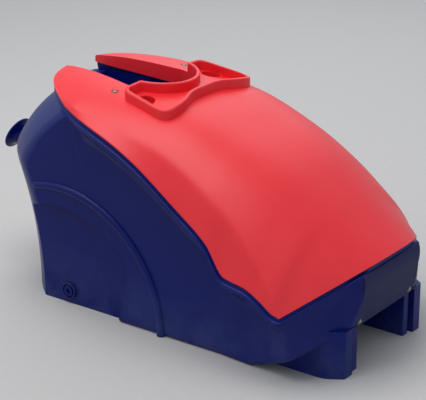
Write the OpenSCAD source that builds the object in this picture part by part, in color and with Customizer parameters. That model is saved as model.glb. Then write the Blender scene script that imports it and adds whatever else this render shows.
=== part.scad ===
// Water filled barrier: a hollow tank under a screwed down hood.
// Lengths run along X towards the nose, heights along Z from the ground.

/* [Body] */
// Length from the hood's wing tips to its nose
body_l = 860; // [700:10:1050]
// Width between the flat sides at the ground
body_w = 432; // [350:4:520]
// Height of the wings above the ground
body_h = 516; // [430:4:620]
// How far the rear bulges out at its middle
rear_bulge = 150; // [60:5:180]
// Radius of the shoulder behind the wings
shoulder_r = 380; // [320:5:460]
// Wall of the hollow tank
tank_wall = 8; // [5:1:10]

/* [Side panels] */
// Depth of the recessed side panel
panel_depth = 18; // [6:1:20]
// Radius of the recessed panel's arch
panel_r = 240; // [190:5:250]
// Radius of the raised arch bead
bead_r = 285; // [270:5:300]
// How far the bead stands out of the side
bead_h = 8; // [3:1:12]

/* [Rim under the hood] */
// How far the rim stands out past the hood's edge
rim_out = 6; // [2:1:10]
// Height of the shadow gap between the hood's edge and the rim
rim_drop = 9; // [4:1:14]

/* [Hood] */
// Wall of the hood
hood_wall = 5; // [3:0.5:7]
// Gap between the hood and what it covers
hood_gap = 0.4; // [0.3:0.1:0.8]
// Half width of the notch at its mouth
notch_mouth = 51; // [40:1:60]
// Radius of the notch's round end
notch_r = 86; // [75:1:90]
// Height of the walls that hang round the notch
notch_wall_h = 38; // [20:1:50]
// Depth of the pocket in the tank below the notch
pocket_depth = 72; // [50:2:100]

/* [Collar] */
// Height of the collar above the hood
collar_h = 22; // [10:1:30]
// Wall of the collar
collar_wall = 8; // [5:1:12]
// Radius of each cup in the collar's floor
cup_r = 22; // [12:1:24]
// Depth of each cup
cup_depth = 40; // [20:1:50]
// Wall of each cup
cup_wall = 3; // [2:0.5:5]

/* [Legs] */
// Half width of the tunnel between the inner legs
tunnel_half = 96; // [70:1:110]
// Height of the tunnel
tunnel_h = 105; // [80:1:115]
// Thickness of each inner leg
leg_wall = 18; // [12:1:24]
// Width of the slot between inner and outer leg
slot_w = 13; // [8:1:16]
// Length of the slot
slot_l = 130; // [80:5:160]

/* [Apron] */
// Half width of the apron
apron_half = 114; // [105:1:118]
// Thickness of the apron
apron_wall = 5; // [3:0.5:6]

/* [Filler] */
// Angle of the filler above the horizontal
filler_tilt = 26; // [15:1:40]
// Radius of the filler plug's threaded shank
filler_shank_r = 20; // [14:0.5:24]
// Wall of the filler neck ring
filler_neck_wall = 9; // [6:1:12]
// Wall of the boss round the neck ring
filler_boss_wall = 9; // [6:1:12]
// How far the boss stands out of the rear
filler_boss_l = 42; // [30:1:60]
// Length of thread that holds the plug
filler_thread_l = 24; // [18:1:30]
// Height of the knob above the filler boss
knob_l = 60; // [45:1:75]
// Radius of the knob's head
knob_r = 42; // [34:1:50]
// Thickness of the filler neck's flange
neck_flange_t = 4; // [3:0.5:6]
// Thickness of the filler seal
filler_seal_t = 2; // [1.5:0.5:4]
// How far the plug's collar and its seal reach past the shank
filler_collar_w = 8; // [6:1:9]

/* [Drain] */
// Radius of the drain plug's shank
drain_shank_r = 8; // [6:0.5:10]
// Length of thread that holds the plug
drain_thread_l = 15; // [10:1:18]
// Wall of the drain bush
drain_bush_wall = 6; // [4:1:8]
// Height of the drain's axis above the ground
drain_z = 31; // [28:1:50]
// How far the drain plug's head reaches past its shank
drain_head_w = 4.5; // [4:0.5:6]
// Height of the drain plug's head
drain_head_t = 5; // [3:0.5:7]
// Thickness of the drain seal
drain_seal_t = 1.6; // [1:0.2:3]

/* [Screws] */
// Radius of every screw's shank
screw_r = 3; // [2.5:0.5:4]
// Length of every screw under its washer
screw_l = 18; // [14:1:20]
// Wall of every threaded insert
insert_wall = 2.5; // [2:0.5:3]
// Thickness of every washer
washer_t = 1.2; // [0.8:0.2:2]

/* [Clearances] */
// Radial clearance of a thread that turns
thread_gap = 0.06; // [0.02:0.01:0.1]
// Radial clearance of a ring that is pressed or moulded in
seat_gap = 0.05; // [0.02:0.01:0.1]
// Gap behind the apron and under the cups
floor_gap = 0.3; // [0.2:0.1:0.6]
// Gap round the apron's edge
apron_gap = 0.4; // [0.2:0.1:0.8]
// Gap round each cup where it dips into the tank
cup_gap = 0.5; // [0.3:0.1:1]

/* [Hidden] */
$fn = 36;
eps = 0.01;
far = 2000;

half_w = body_w / 2;

// Smooth curve through [x, value] points that never overshoots them
function span(p, x, i = 0) = (i >= len(p) - 2 || x < p[i + 1][0]) ? i : span(p, x, i + 1);
function rise(p, i) = (p[i + 1][1] - p[i][1]) / (p[i + 1][0] - p[i][0]);
function slope_at(p, i) =
    i == 0 ? rise(p, 0) :
    i == len(p) - 1 ? rise(p, i - 1) :
    let (a = rise(p, i - 1), b = rise(p, i)) a * b <= 0 ? 0 : 2 * a * b / (a + b);
function curve(p, x) =
    let (i = span(p, x), h = p[i + 1][0] - p[i][0])
    let (t = min(1, max(0, (x - p[i][0]) / h)), m0 = slope_at(p, i) * h, m1 = slope_at(p, i + 1) * h)
    let (t2 = t * t, t3 = t * t * t)
    (2 * t3 - 3 * t2 + 1) * p[i][1] + (t3 - 2 * t2 + t) * m0
    + (3 * t2 - 2 * t3) * p[i + 1][1] + (t3 - t2) * m1;

// Hood lines: stations are shares of the length, heights of the height, half widths of half the width
crown_line = [[-0.5, 0.992], [-0.395, 1], [-0.233, 0.985], [-0.056, 0.948], [0.116, 0.853],
              [0.233, 0.764], [0.349, 0.640], [0.428, 0.548], [0.5, 0.465], [0.53, 0.425]];
crease_line = [[-0.5, 0.986], [-0.34, 0.94], [-0.056, 0.849], [0.116, 0.721], [0.22, 0.605],
               [0.292, 0.498], [0.351, 0.38], [0.373, 0.31], [0.43, 0.17], [0.53, -0.22]];
crease_width = [[-0.338, 0.93], [-0.303, 0.986], [-0.056, 1.028], [0.116, 1.1], [0.292, 1.19],
                [0.373, 1.265], [0.53, 1.265]];
edge_line = [[-0.5, 0.978], [-0.414, 0.957], [-0.335, 0.917], [-0.198, 0.862], [-0.094, 0.791],
             [0.059, 0.632], [0.152, 0.529], [0.209, 0.411], [0.271, 0.393], [0.313, 0.36],
             [0.355, 0.316], [0.373, 0.308], [0.53, -0.25]];
edge_width = [[-0.338, 0.958], [-0.269, 1.056], [-0.198, 1.12], [-0.047, 1.167], [0.059, 1.194],
              [0.209, 1.25], [0.373, 1.27], [0.53, 1.27]];
crown_power = [[-0.5, 3.6], [-0.056, 3.6], [0.373, 2.5], [0.53, 2.5]];

wing_tip_x = -0.494 * body_l;
wing_root_x = -0.338 * body_l;
corner_x = 0.373 * body_l;
nose_x = 0.495 * body_l;

function wing_share(x) = pow(max(0, (x - wing_tip_x) / (wing_root_x - wing_tip_x)), 1 / 3);
function crown_z(x) = body_h * curve(crown_line, x / body_l);
function crease_z(x) = body_h * curve(crease_line, x / body_l);
function side_edge_z(x) = body_h * curve(edge_line, x / body_l);
function side_edge_y(x) = x < wing_root_x
    ? half_w * edge_width[0][1] * wing_share(x)
    : half_w * curve(edge_width, x / body_l);
function crease_y(x) = x < wing_root_x
    ? half_w * crease_width[0][1] * wing_share(x)
    : half_w * curve(crease_width, x / body_l);
function hood_z(x, y) = crown_z(x) - (crown_z(x) - crease_z(x))
    * pow(min(1, abs(y) / crease_y(x)), curve(crown_power, x / body_l));

// The hood's front edge lies in one plane that leans up towards the nose
front_slope = 0.749;
corner_z = side_edge_z(corner_x);
function front_z(x) = corner_z + front_slope * (x - corner_x);
function front_y(x) = crease_y(x)
    * pow(max(0, (crown_z(x) - front_z(x)) / (crown_z(x) - crease_z(x))),
          1 / curve(crown_power, x / body_l));
function edge_y(x) = x < corner_x ? side_edge_y(x) : front_y(x);
function edge_z(x) = x < corner_x ? side_edge_z(x) : front_z(x);

// Rear of the tank: it leans back up to a ridge, then rolls forward over the shoulder
ridge_z = 0.62 * body_h;
rear_foot_x = -0.413 * body_l;
rear_lean = 0.0756 * body_l;
shoulder_tilt = 27.9;
function bulge(y) = rear_bulge * (1 - pow(y / half_w, 2));
function rear_x(z) = rear_foot_x - rear_lean * pow(z / ridge_z, 2.2);
shoulder_x = rear_x(ridge_z) + shoulder_r * cos(shoulder_tilt);
shoulder_z = ridge_z - shoulder_r * sin(shoulder_tilt);
saddle_z = 0.925 * body_h;
function saddle(y) = saddle_z - 0.04 * body_h * pow(y / half_w, 4);

// Rim, flank and nose of the tank
flare_line = [[-0.5, 0.05], [-0.338, 0.06], [-0.15, 0.09], [0.1, 0.12], [0.373, 0.1], [0.5, 0.02]];
wall_line = [[0.15, 1], [0.3, 1.055], [0.378, 1.134], [0.434, 0.833], [0.4907, 0.528], [0.4955, 0.49]];
low_line = [[0.2465, 0], [0.31, 0.043], [0.349, 0.072], [0.419, 0.14], [0.473, 0.203],
            [0.479, 0.242], [0.486, 0.289], [0.493, 0.349], [0.4955, 0.375]];
top_line = [[0.48, 0.6], [0.4885, 0.446], [0.4935, 0.43], [0.4955, 0.4]];
function rim_y(x) = edge_y(x) + rim_out * min(1, max(-0.6, (x - wing_tip_x) / 120 - 0.6));
function flare_h(x) = body_h * curve(flare_line, x / body_l);
function wall_y(x) = x < 0.15 * body_l
    ? min(half_w, rim_y(x) - 3 * rim_out)
    : half_w * curve(wall_line, x / body_l);
function low_z(x) = x < wing_root_x + 25 ? 0.7 * body_h : body_h * curve(low_line, x / body_l);
function nose_top(x) = x < 0.48 * body_l ? far : body_h * curve(top_line, x / body_l);

// Rings of points joined into a closed solid; every ring has the same number of points
module loft(rings) {
    n = len(rings[0]);
    last = len(rings) - 1;
    points = [for (ring = rings) each ring];
    sides = [for (i = [0:last - 1], j = [0:n - 1])
        let (a = i * n + j, b = i * n + (j + 1) % n) each [[a, b, b + n], [a, b + n, a + n]]];
    first_cap = [for (j = [n - 1:-1:0]) j];
    last_cap = [for (j = [0:n - 1]) last * n + j];
    polyhedron(points = points, faces = concat([first_cap], sides, [last_cap]));
}

// Joins formed surfaces into one skin at their own size, so that bores are cut in it last
module skin() {
    resize([0, 0, 0]) union() children();
}

// A right half section [[y, z], ...] from top centre to bottom, closed by its mirror image
function whole_ring(x, half) = [
    for (p = half) [x, p[0], p[1]],
    for (i = [len(half) - 1:-1:0]) if (half[i][0] > eps) [x, -half[i][0], half[i][1]]
];

top_steps = 8;
lip_h = 3;
hood_stations = [for (u = [-0.4925, -0.485, -0.47, -0.448, -0.42, -0.385, -0.355, -0.338, -0.31, -0.27,
    -0.22, -0.17, -0.12, -0.07, -0.02, 0.03, 0.08, 0.12, 0.155, 0.185, 0.209, 0.235, 0.265, 0.295,
    0.325, 0.35, 0.373, 0.4, 0.43, 0.46, 0.485, 0.515]) u * body_l];

// Skin of the hood lowered by drop and drawn in by inset, down to floor_z below its edge
function hood_half(x, drop, inset, floor_z) =
    let (cy = crease_y(x) - inset * 0.7, ey = max(side_edge_y(x) - inset, cy + 0.3))
    concat(
        [for (j = [0:top_steps]) let (y = cy * j / top_steps) [y, hood_z(x, y * crease_y(x) / cy) - drop]],
        [[ey, min(side_edge_z(x) + lip_h, crease_z(x) - drop - 0.6)],
         [ey, side_edge_z(x) - floor_z], [0, side_edge_z(x) - floor_z]]);
module hood_form(drop, inset, floor_z) {
    loft([for (x = hood_stations) whole_ring(x, hood_half(x, drop, inset, floor_z))]);
}

// Everything below the leaning plane of the hood's front edge
module front_cut(lift = 0) {
    translate([corner_x, 0, corner_z - lift])
        rotate([0, -atan(front_slope), 0])
            translate([-far / 2, -far / 2, -far]) cube(far);
}

notch_end_x = -0.127 * body_l;
notch_mid_x = notch_end_x - notch_r;
// Plan of the notch between the wings, grown by a margin
module notch_plan(margin = 0) {
    mouth = notch_mouth + margin;
    translate([notch_mid_x, 0]) circle(r = notch_r + margin, $fn = 64);
    polygon([[wing_tip_x - 40, -mouth], [wing_tip_x + 30, -mouth - 3], [notch_mid_x, -notch_r - margin],
             [notch_mid_x, notch_r + margin], [wing_tip_x + 30, mouth + 3], [wing_tip_x - 40, mouth]]);
}

collar_back_x = -0.215 * body_l;
collar_front_x = -0.058 * body_l;
collar_mid_x = -0.074 * body_l;
collar_in_y = 0.47 * half_w;
collar_out_y = 0.77 * half_w;
collar_round = 18;
collar_side = [[collar_back_x + 8, collar_in_y / 2], [collar_back_x + 8, collar_in_y],
               [collar_back_x, collar_in_y], [collar_back_x, 0.87 * collar_out_y],
               [collar_front_x + 4, collar_out_y], [collar_front_x + 8, 0.6 * collar_out_y],
               [collar_mid_x, 0.3 * collar_out_y]];
// Plan of the collar's outside
module collar_plan() {
    difference() {
        offset(r = collar_round, $fn = 32) offset(delta = -collar_round) polygon([
            for (p = collar_side) p,
            for (i = [len(collar_side) - 1:-1:0]) [collar_side[i][0], -collar_side[i][1]]
        ]);
        translate([notch_mid_x, 0]) circle(r = notch_r, $fn = 64);
    }
}

cup_x = collar_back_x + 48;
cup_y = 0.56 * half_w;
cup_bottom_z = hood_z(cup_x, cup_y) - cup_depth;

screw_x = -0.252 * body_l;
screw_y = 0.583 * half_w;
screw_z = hood_z(screw_x, screw_y);
spot_depth = 1.8;
washer_r = screw_r * 2.4;
spot_r = washer_r + 1.5;
hole_r = screw_r + 0.3;
insert_r = screw_r + insert_wall;
insert_l = screw_l - 4;
insert_drop = 1.6; // how far the inserts sit below the dome
insert_top_z = screw_z - hood_wall - hood_gap - insert_drop;
insert_boss_wall = 6;
seal_gap = 0.4; // between a seal and the shank in it
apron_spot_depth = 1;

// Hood before its cups and screw holes are bored
module hood_skin() {
    difference() {
        union() {
            difference() {
                hood_form(0, 0, 0);
                hood_form(hood_wall, hood_wall, 30);
            }
            // Walls that hang down round the notch
            intersection() {
                translate([0, 0, body_h / 2]) linear_extrude(height = body_h) difference() {
                    notch_plan(hood_wall);
                    notch_plan();
                }
                difference() {
                    hood_form(0, 0, 60);
                    translate([0, 0, -notch_wall_h]) hood_form(0, -60, 80);
                }
            }
            // Collar wall, with its top following the hood
            intersection() {
                translate([0, 0, body_h / 2]) linear_extrude(height = body_h) difference() {
                    collar_plan();
                    offset(delta = -collar_wall) collar_plan();
                }
                difference() {
                    translate([0, 0, collar_h]) hood_form(0, 0, 60);
                    translate([0, 0, -hood_wall / 2]) hood_form(0, 0, 80);
                }
            }
        }
        translate([0, 0, body_h / 2]) linear_extrude(height = body_h) notch_plan();
        front_cut();
    }
}

module hood() {
    color("red") difference() {
        union() {
            skin() hood_skin();
            for (side = [-1, 1]) translate([cup_x, side * cup_y, cup_bottom_z - cup_wall])
                cylinder(r = cup_r + cup_wall, h = cup_depth + cup_wall - hood_wall / 2);
        }
        for (side = [-1, 1]) {
            translate([cup_x, side * cup_y, cup_bottom_z]) cylinder(r = cup_r, h = far);
            translate([screw_x, side * screw_y, screw_z - spot_depth]) cylinder(r = spot_r, h = 20);
            translate([screw_x, side * screw_y, 0]) cylinder(r = hole_r, h = far);
        }
    }
}

tank_stations = [for (u = [-0.4925, -0.47, -0.448, -0.42, -0.385, -0.338, -0.31, -0.27,
    -0.22, -0.17, -0.12, -0.07, -0.02, 0.03, 0.08, 0.12, 0.155, 0.185, 0.209, 0.235, 0.265, 0.295,
    0.325, 0.35, 0.373, 0.4, 0.43, 0.455, 0.471, 0.4835, 0.4905, 0.4955]) u * body_l];

// Half section of the tank below the hood's edge: rim, flare and flat side
function tank_half(x) =
    let (e = max(edge_y(x) - 1.5, 6), z = min(edge_z(x), nose_top(x)), w = wall_y(x),
         rim = max(rim_y(x), w), q = min(1, (z - low_z(x)) / 90), drop = rim_drop * q,
         foot = z - drop - 9 * q, f = min(flare_h(x), foot - low_z(x) - 8 * q))
    concat(
        [[0, z - 1.5 * q], [e, z - 1.5 * q], [e, z - drop],
         [rim - 3, z - drop - 0.6 * q], [rim, z - drop - 4 * q], [rim - 0.5, foot]],
        [for (s = [0.3, 0.6, 1]) [w + (rim - 0.5 - w) * pow(1 - s, 2), foot - f * s]],
        [[w - 0.2, low_z(x) + 3 * q], [w - 3, low_z(x)], [0, low_z(x)]]);

// Profile at one y of the rear part of the tank, drawn in by inset
arc_steps = 9;
function rear_ring(y, inset) =
    let (b = bulge(y), top = saddle(y) - inset, r = shoulder_r - inset,
         a1 = 180 - shoulder_tilt, a2 = 180 - asin((top - shoulder_z) / r), end_x = wing_root_x + 90)
    [for (p = concat(
        [[end_x, 0 + inset]],
        [for (k = [0:6]) let (z = inset + (ridge_z - inset - inset / 2) * k / 6) [rear_x(z) - b + inset, z]],
        [for (k = [1:arc_steps]) let (a = a1 + (a2 - a1) * k / arc_steps)
            [shoulder_x - b + r * cos(a), shoulder_z + r * sin(a)]],
        [[end_x, top]])) [p[0], y, p[1]]];
rear_steps = 12;
module rear_form(half, inset) {
    loft([for (i = [0:rear_steps]) rear_ring(half * (1 - 2 * i / rear_steps), inset)]);
}

// Hollow of the tank: rear part, middle and the shelf over the tunnel
hollow_half = half_w - panel_depth - tank_wall;
roof_x = -0.27 * body_l;
// The hollow ends short of the nose, and sooner towards the sides
function front_limit(y) =
    min(0.462 * body_l, 0.378 * body_l + (1.134 * half_w - abs(y)) * 0.74 - 2.5 * tank_wall);
function hollow_ring(y) =
    let (b = bulge(y), i = tank_wall, top = saddle(y) - i, r = shoulder_r - i,
         a1 = 180 - shoulder_tilt, a2 = 180 - asin((top - shoulder_z) / r),
         roof = hood_wall + 2 * hood_gap + tank_wall, fx = front_limit(y), shelf = tunnel_h + tank_wall)
    [for (p = concat(
        [for (k = [0:6]) let (z = i + (ridge_z - i * 1.5) * k / 6) [rear_x(z) - b + i, z]],
        [for (k = [1:arc_steps]) let (a = a1 + (a2 - a1) * k / arc_steps)
            [shoulder_x - b + r * cos(a), shoulder_z + r * sin(a)]],
        [for (k = [0:8]) let (x = roof_x + (fx - 25 - roof_x) * k / 8) [x, hood_z(x, y) - roof]],
        [[fx, min(hood_z(fx, y), front_z(max(fx, corner_x))) - roof - rim_drop], [fx, shelf + 22],
         [fx - 30, shelf], [tunnel_x - tank_wall, shelf], [tunnel_x - tank_wall, i]])) [p[0], y, p[1]]];
hollow_steps = 10;
module hollow_form() {
    loft([for (k = [0:hollow_steps]) hollow_ring(hollow_half * (1 - 2 * k / hollow_steps))]);
}

arch_x = -0.364 * body_l;
panel_end_x = -0.136 * body_l;
tunnel_x = 0.14 * body_l;
leg_front_x = 0.467 * body_l;
outer_leg_x = 0.4755 * body_l;
pocket_x = -0.452 * body_l;
pocket_z = body_h - pocket_depth;

// Recess in one side, under the arch
module side_panel() {
    intersection() {
        translate([arch_x, 0, 0]) rotate([-90, 0, 0]) cylinder(r = panel_r, h = far, $fn = 96);
        translate([0, half_w - panel_depth, 0]) rotate([-90, 0, 0]) linear_extrude(height = far)
            polygon([[-body_l, 1], [panel_end_x - 30, 1], [panel_end_x, -body_h * 0.3],
                     [panel_end_x, -body_h], [-body_l, -body_h]]);
    }
}

module side_bead() {
    translate([arch_x, half_w - 2, 0]) rotate([90, 0, 0])
        rotate_extrude(angle = 105, $fn = 96) translate([bead_r, 0]) circle(r = bead_h + 2, $fn = 16);
}

drain_x = -0.3535 * body_l;
drain_ring_r = drain_shank_r + drain_bush_wall + 6;
drain_ring_wall = 4.5;
drain_ring_h = 6;
drain_bush_l = drain_thread_l + 6;
// Puts its children on the drain's axis, +Z pointing out of the side
module at_drain() {
    translate([drain_x, -(half_w - panel_depth), drain_z]) rotate([90, 0, 0]) children();
}

filler_z = 0.485 * body_h;
filler_x = rear_x(filler_z) - rear_bulge;
filler_neck_r = filler_shank_r + filler_neck_wall;
filler_boss_r = filler_neck_r + filler_boss_wall;
boss_root = 20; // how far the boss reaches into the tank
// Puts its children on the filler's axis, +Z pointing out of the boss, from its face
module at_filler() {
    translate([filler_x, 0, filler_z]) rotate([0, filler_tilt - 90, 0])
        translate([0, 0, filler_boss_l]) children();
}

// Front profile of the apron, set back by a margin: [height, distance behind the nose]
nose_line = [[0.197, 0.0225], [0.32, 0.006], [0.385, 0], [0.435, 0.0025]];
apron_z0 = 0.2 * body_h;
apron_z1 = 0.43 * body_h;
nose_steps = 10;
function nose_points(back, z0, z1) = [for (k = [0:nose_steps]) let (z = z0 + (z1 - z0) * k / nose_steps)
    [nose_x - body_l * curve(nose_line, z / body_h) - back, z]];
module nose_slab(half, back, depth, z0, z1) {
    front = nose_points(back, z0, z1);
    rear = nose_points(back + depth, z0, z1);
    translate([0, half, 0]) rotate([90, 0, 0]) linear_extrude(height = 2 * half)
        polygon(concat(front, [for (i = [nose_steps:-1:0]) rear[i]]));
}

apron_screw_y = 0.9 * apron_half;
apron_screw_z = apron_z0 + 9;
apron_lean = atan((0.0225 - 0.006) * body_l / ((0.32 - 0.197) * body_h));
apron_screw_x = nose_x - body_l * curve(nose_line, apron_screw_z / body_h);
// Puts its children on an apron screw's axis, +Z pointing out of the apron
module at_apron_screw(side) {
    translate([apron_screw_x, side * apron_screw_y, apron_screw_z])
        rotate([0, 90 + apron_lean, 0]) children();
}

// Plan of one pair of legs, before the slot is cut between them
outer_leg_y = 0.833 * half_w;
leg_split_y = tunnel_half + leg_wall;
module legs_plan() {
    polygon([[tunnel_x, tunnel_half], [leg_front_x, tunnel_half], [leg_front_x, leg_split_y + slot_w / 2],
             [outer_leg_x, leg_split_y + slot_w / 2], [outer_leg_x, 0.72 * half_w],
             [0.434 * body_l, outer_leg_y], [tunnel_x, outer_leg_y]]);
}

skirt_z = crown_z(notch_end_x) - notch_wall_h;
skirt_margin = hood_wall + hood_gap;
pocket_margin = skirt_margin + tank_wall;

// Walls that stand in the hollow: round the pocket, the cups, the inserts, the filler and the drain
module inner_walls() {
    translate([0, 0, pocket_z - tank_wall]) linear_extrude(height = body_h) intersection() {
        notch_plan(pocket_margin);
        translate([pocket_x - tank_wall, -far / 2]) square(far);
    }
    for (side = [-1, 1]) {
        translate([cup_x, side * cup_y, cup_bottom_z - cup_wall - floor_gap - tank_wall])
            cylinder(r = cup_r + cup_wall + cup_gap + tank_wall, h = body_h);
        translate([screw_x, side * screw_y, insert_top_z - insert_l - insert_boss_wall])
            cylinder(r = insert_r + insert_boss_wall, h = body_h);
        at_apron_screw(side) translate([0, 0, -apron_wall - insert_l - 8])
            cylinder(r = insert_r + insert_boss_wall, h = far);
    }
    at_filler() translate([0, 0, -filler_boss_l - boss_root]) cylinder(r = filler_boss_r, h = far);
    at_drain() translate([0, 0, -drain_bush_l - 2]) cylinder(r = drain_ring_r, h = far);
}

module tank_outside() {
    difference() {
        union() {
            loft([for (x = tank_stations) whole_ring(x, tank_half(x))]);
            // Dome that the hood sits on
            difference() {
                hood_form(skirt_margin, skirt_margin, 3);
                front_cut(3);
            }
        }
        translate([0, 0, saddle_z]) linear_extrude(height = far) notch_plan(skirt_margin);
    }
    rear_form(half_w, 0);
    for (side = [0, 1]) mirror([0, side, 0]) {
        side_bead();
        linear_extrude(height = tunnel_h + 3) legs_plan();
    }
    at_filler() translate([0, 0, -filler_boss_l - boss_root])
        cylinder(r = filler_boss_r, h = filler_boss_l + boss_root);
}

// Tank before its round holes are bored
module tank_skin() {
    difference() {
        tank_outside();
        difference() {
            hollow_form();
            inner_walls();
        }
        for (side = [0, 1]) mirror([0, side, 0]) side_panel();
        // Pocket under the notch, and the groove the hood's walls stand in
        translate([0, 0, pocket_z]) linear_extrude(height = far) intersection() {
            notch_plan();
            translate([pocket_x, -far / 2]) square(far);
        }
        translate([0, 0, skirt_z - 2]) linear_extrude(height = far) difference() {
            notch_plan(skirt_margin);
            notch_plan(-hood_gap);
        }
        // Tunnel and slots between the legs
        translate([tunnel_x, -tunnel_half, -1]) cube([far, 2 * tunnel_half, tunnel_h + 1]);
        for (side = [-1, 1])
            translate([outer_leg_x - slot_l, side * (leg_split_y + slot_w / 2) - slot_w / 2, -1])
                cube([far, slot_w, tunnel_h + 1]);
        // Seat of the apron
        nose_slab(apron_half + apron_gap, -60, 60 + apron_wall + floor_gap, apron_z0 - 1, apron_z1 + 20);
    }
}

module tank() {
    color("navy") difference() {
        skin() tank_skin();
        for (side = [-1, 1]) {
            translate([cup_x, side * cup_y, cup_bottom_z - cup_wall - floor_gap])
                cylinder(r = cup_r + cup_wall + cup_gap, h = far);
            translate([screw_x, side * screw_y, insert_top_z - insert_l])
                cylinder(r = insert_r + seat_gap, h = far);
            at_apron_screw(side) translate([0, 0, -apron_wall - floor_gap - insert_l])
                cylinder(r = insert_r + seat_gap, h = far);
        }
        // Holes of the filler and the drain
        at_filler() translate([0, 0, -filler_boss_l - boss_root - 5])
            cylinder(r = filler_neck_r + seat_gap, h = far);
        at_drain() translate([0, 0, -drain_bush_l - 3])
            cylinder(r = drain_shank_r + drain_bush_wall + seat_gap, h = far);
    }
    // Raised ring round the drain
    color("navy") at_drain() difference() {
        translate([0, 0, -2]) cylinder(r = drain_ring_r, h = drain_ring_h + 2);
        translate([0, 0, -3]) cylinder(r = drain_ring_r - drain_ring_wall, h = far);
    }
}

module front_apron() {
    color("slategray") difference() {
        nose_slab(apron_half, 0, apron_wall, apron_z0, apron_z1);
        for (side = [-1, 1]) {
            at_apron_screw(side) translate([0, 0, -30]) cylinder(r = hole_r, h = 60);
            at_apron_screw(side) translate([0, 0, -apron_spot_depth]) cylinder(r = spot_r, h = 20);
        }
    }
}

module ring(outer, inner, height) {
    difference() {
        cylinder(r = outer, h = height);
        translate([0, 0, -1]) cylinder(r = inner, h = height + 2);
    }
}

filler_bore_r = filler_shank_r + thread_gap;
module filler_neck() {
    color("navy") at_filler() difference() {
        union() {
            translate([0, 0, -filler_boss_l - 4]) cylinder(r = filler_neck_r, h = filler_boss_l + 4);
            cylinder(r = filler_boss_r - 1, h = neck_flange_t);
        }
        translate([0, 0, -filler_boss_l - 10]) cylinder(r = filler_bore_r, h = far);
    }
}

module filler_seal() {
    color("black") at_filler() translate([0, 0, neck_flange_t])
        ring(filler_shank_r + filler_collar_w, filler_shank_r + seal_gap, filler_seal_t);
}

module filler_plug() {
    base = neck_flange_t + filler_seal_t;
    rim_z = knob_l - 7;
    color("navy") at_filler() rotate_extrude($fn = 96) polygon([
        [0, base - filler_thread_l - 2], [filler_shank_r - 2, base - filler_thread_l - 2],
        [filler_shank_r, base - filler_thread_l], [filler_shank_r, base],
        [filler_shank_r + filler_collar_w, base], [filler_shank_r + filler_collar_w, base + 3],
        [filler_shank_r + filler_collar_w - 2, base + 5],
        [0.45 * knob_r, base + 12], [0.42 * knob_r, base + 20], [0.46 * knob_r, base + 28],
        [0.62 * knob_r, rim_z - 7], [knob_r - 3, rim_z - 2.5], [knob_r - 0.8, rim_z - 1.5],
        [knob_r, rim_z + 0.5], [knob_r - 0.8, rim_z + 2.2], [knob_r - 4, rim_z + 3.4],
        [0.5 * knob_r, rim_z + 6.2], [0, knob_l]]);
}

drain_bore_r = drain_shank_r + thread_gap;
module drain_bush() {
    color("gainsboro") at_drain() translate([0, 0, -drain_bush_l])
        ring(drain_shank_r + drain_bush_wall, drain_bore_r, drain_bush_l);
}

module drain_seal() {
    color("black") at_drain() ring(drain_shank_r + drain_head_w, drain_shank_r + seal_gap, drain_seal_t);
}

module drain_plug() {
    color("navy") at_drain() translate([0, 0, drain_seal_t]) difference() {
        union() {
            translate([0, 0, -drain_thread_l]) cylinder(r = drain_shank_r, h = drain_thread_l + 1);
            cylinder(r = drain_shank_r + drain_head_w, h = drain_head_t);
        }
        translate([0, 0, 1]) cylinder(r = 0.75 * drain_shank_r, h = 20, $fn = 6);
    }
}

module insert_ring() {
    translate([0, 0, -insert_l]) ring(insert_r, screw_r + seat_gap, insert_l);
}
module washer_ring() {
    ring(washer_r, screw_r + 0.2, washer_t);
}
// Pan head screw standing on z = 0
module pan_screw() {
    head_r = 1.75 * screw_r;
    head_h = 1.2 * screw_r;
    translate([0, 0, -screw_l]) cylinder(r = screw_r, h = screw_l + 1);
    rotate_extrude() polygon([[0, 0], [head_r, 0], [head_r, 0.4 * head_h], [0.85 * head_r, 0.8 * head_h],
                              [0.55 * head_r, head_h], [0.3 * head_r, head_h], [0.3 * head_r, 0.5 * head_h],
                              [0, 0.5 * head_h]]);
}

module hood_insert(side) {
    color("goldenrod") translate([screw_x, side * screw_y, insert_top_z]) insert_ring();
}
module hood_washer(side) {
    color("silver") translate([screw_x, side * screw_y, screw_z - spot_depth]) washer_ring();
}
module hood_screw(side) {
    color("silver") translate([screw_x, side * screw_y, screw_z - spot_depth + washer_t]) pan_screw();
}
module apron_insert(side) {
    color("goldenrod") at_apron_screw(side) translate([0, 0, -apron_wall - floor_gap]) insert_ring();
}
module apron_washer(side) {
    color("silver") at_apron_screw(side) translate([0, 0, -apron_spot_depth]) washer_ring();
}
module apron_screw(side) {
    color("silver") at_apron_screw(side) translate([0, 0, washer_t - apron_spot_depth]) pan_screw();
}

// Where the hood's middle line meets its front edge
function hood_front(a, b, n = 24) =
    n == 0 ? a :
    let (m = (a + b) / 2) crown_z(m) > front_z(m) ? hood_front(m, b, n - 1) : hood_front(a, m, n - 1);

// Origin at the middle of the whole length, on the ground
knob_end_x = filler_x - (filler_boss_l + knob_l - 4.8) * cos(filler_tilt)
    - (knob_r - 0.8) * sin(filler_tilt);
middle_x = (knob_end_x + max(hood_front(corner_x, 0.52 * body_l), nose_x)) / 2;
module placed() {
    translate([-middle_x, 0, 0]) children();
}

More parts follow.
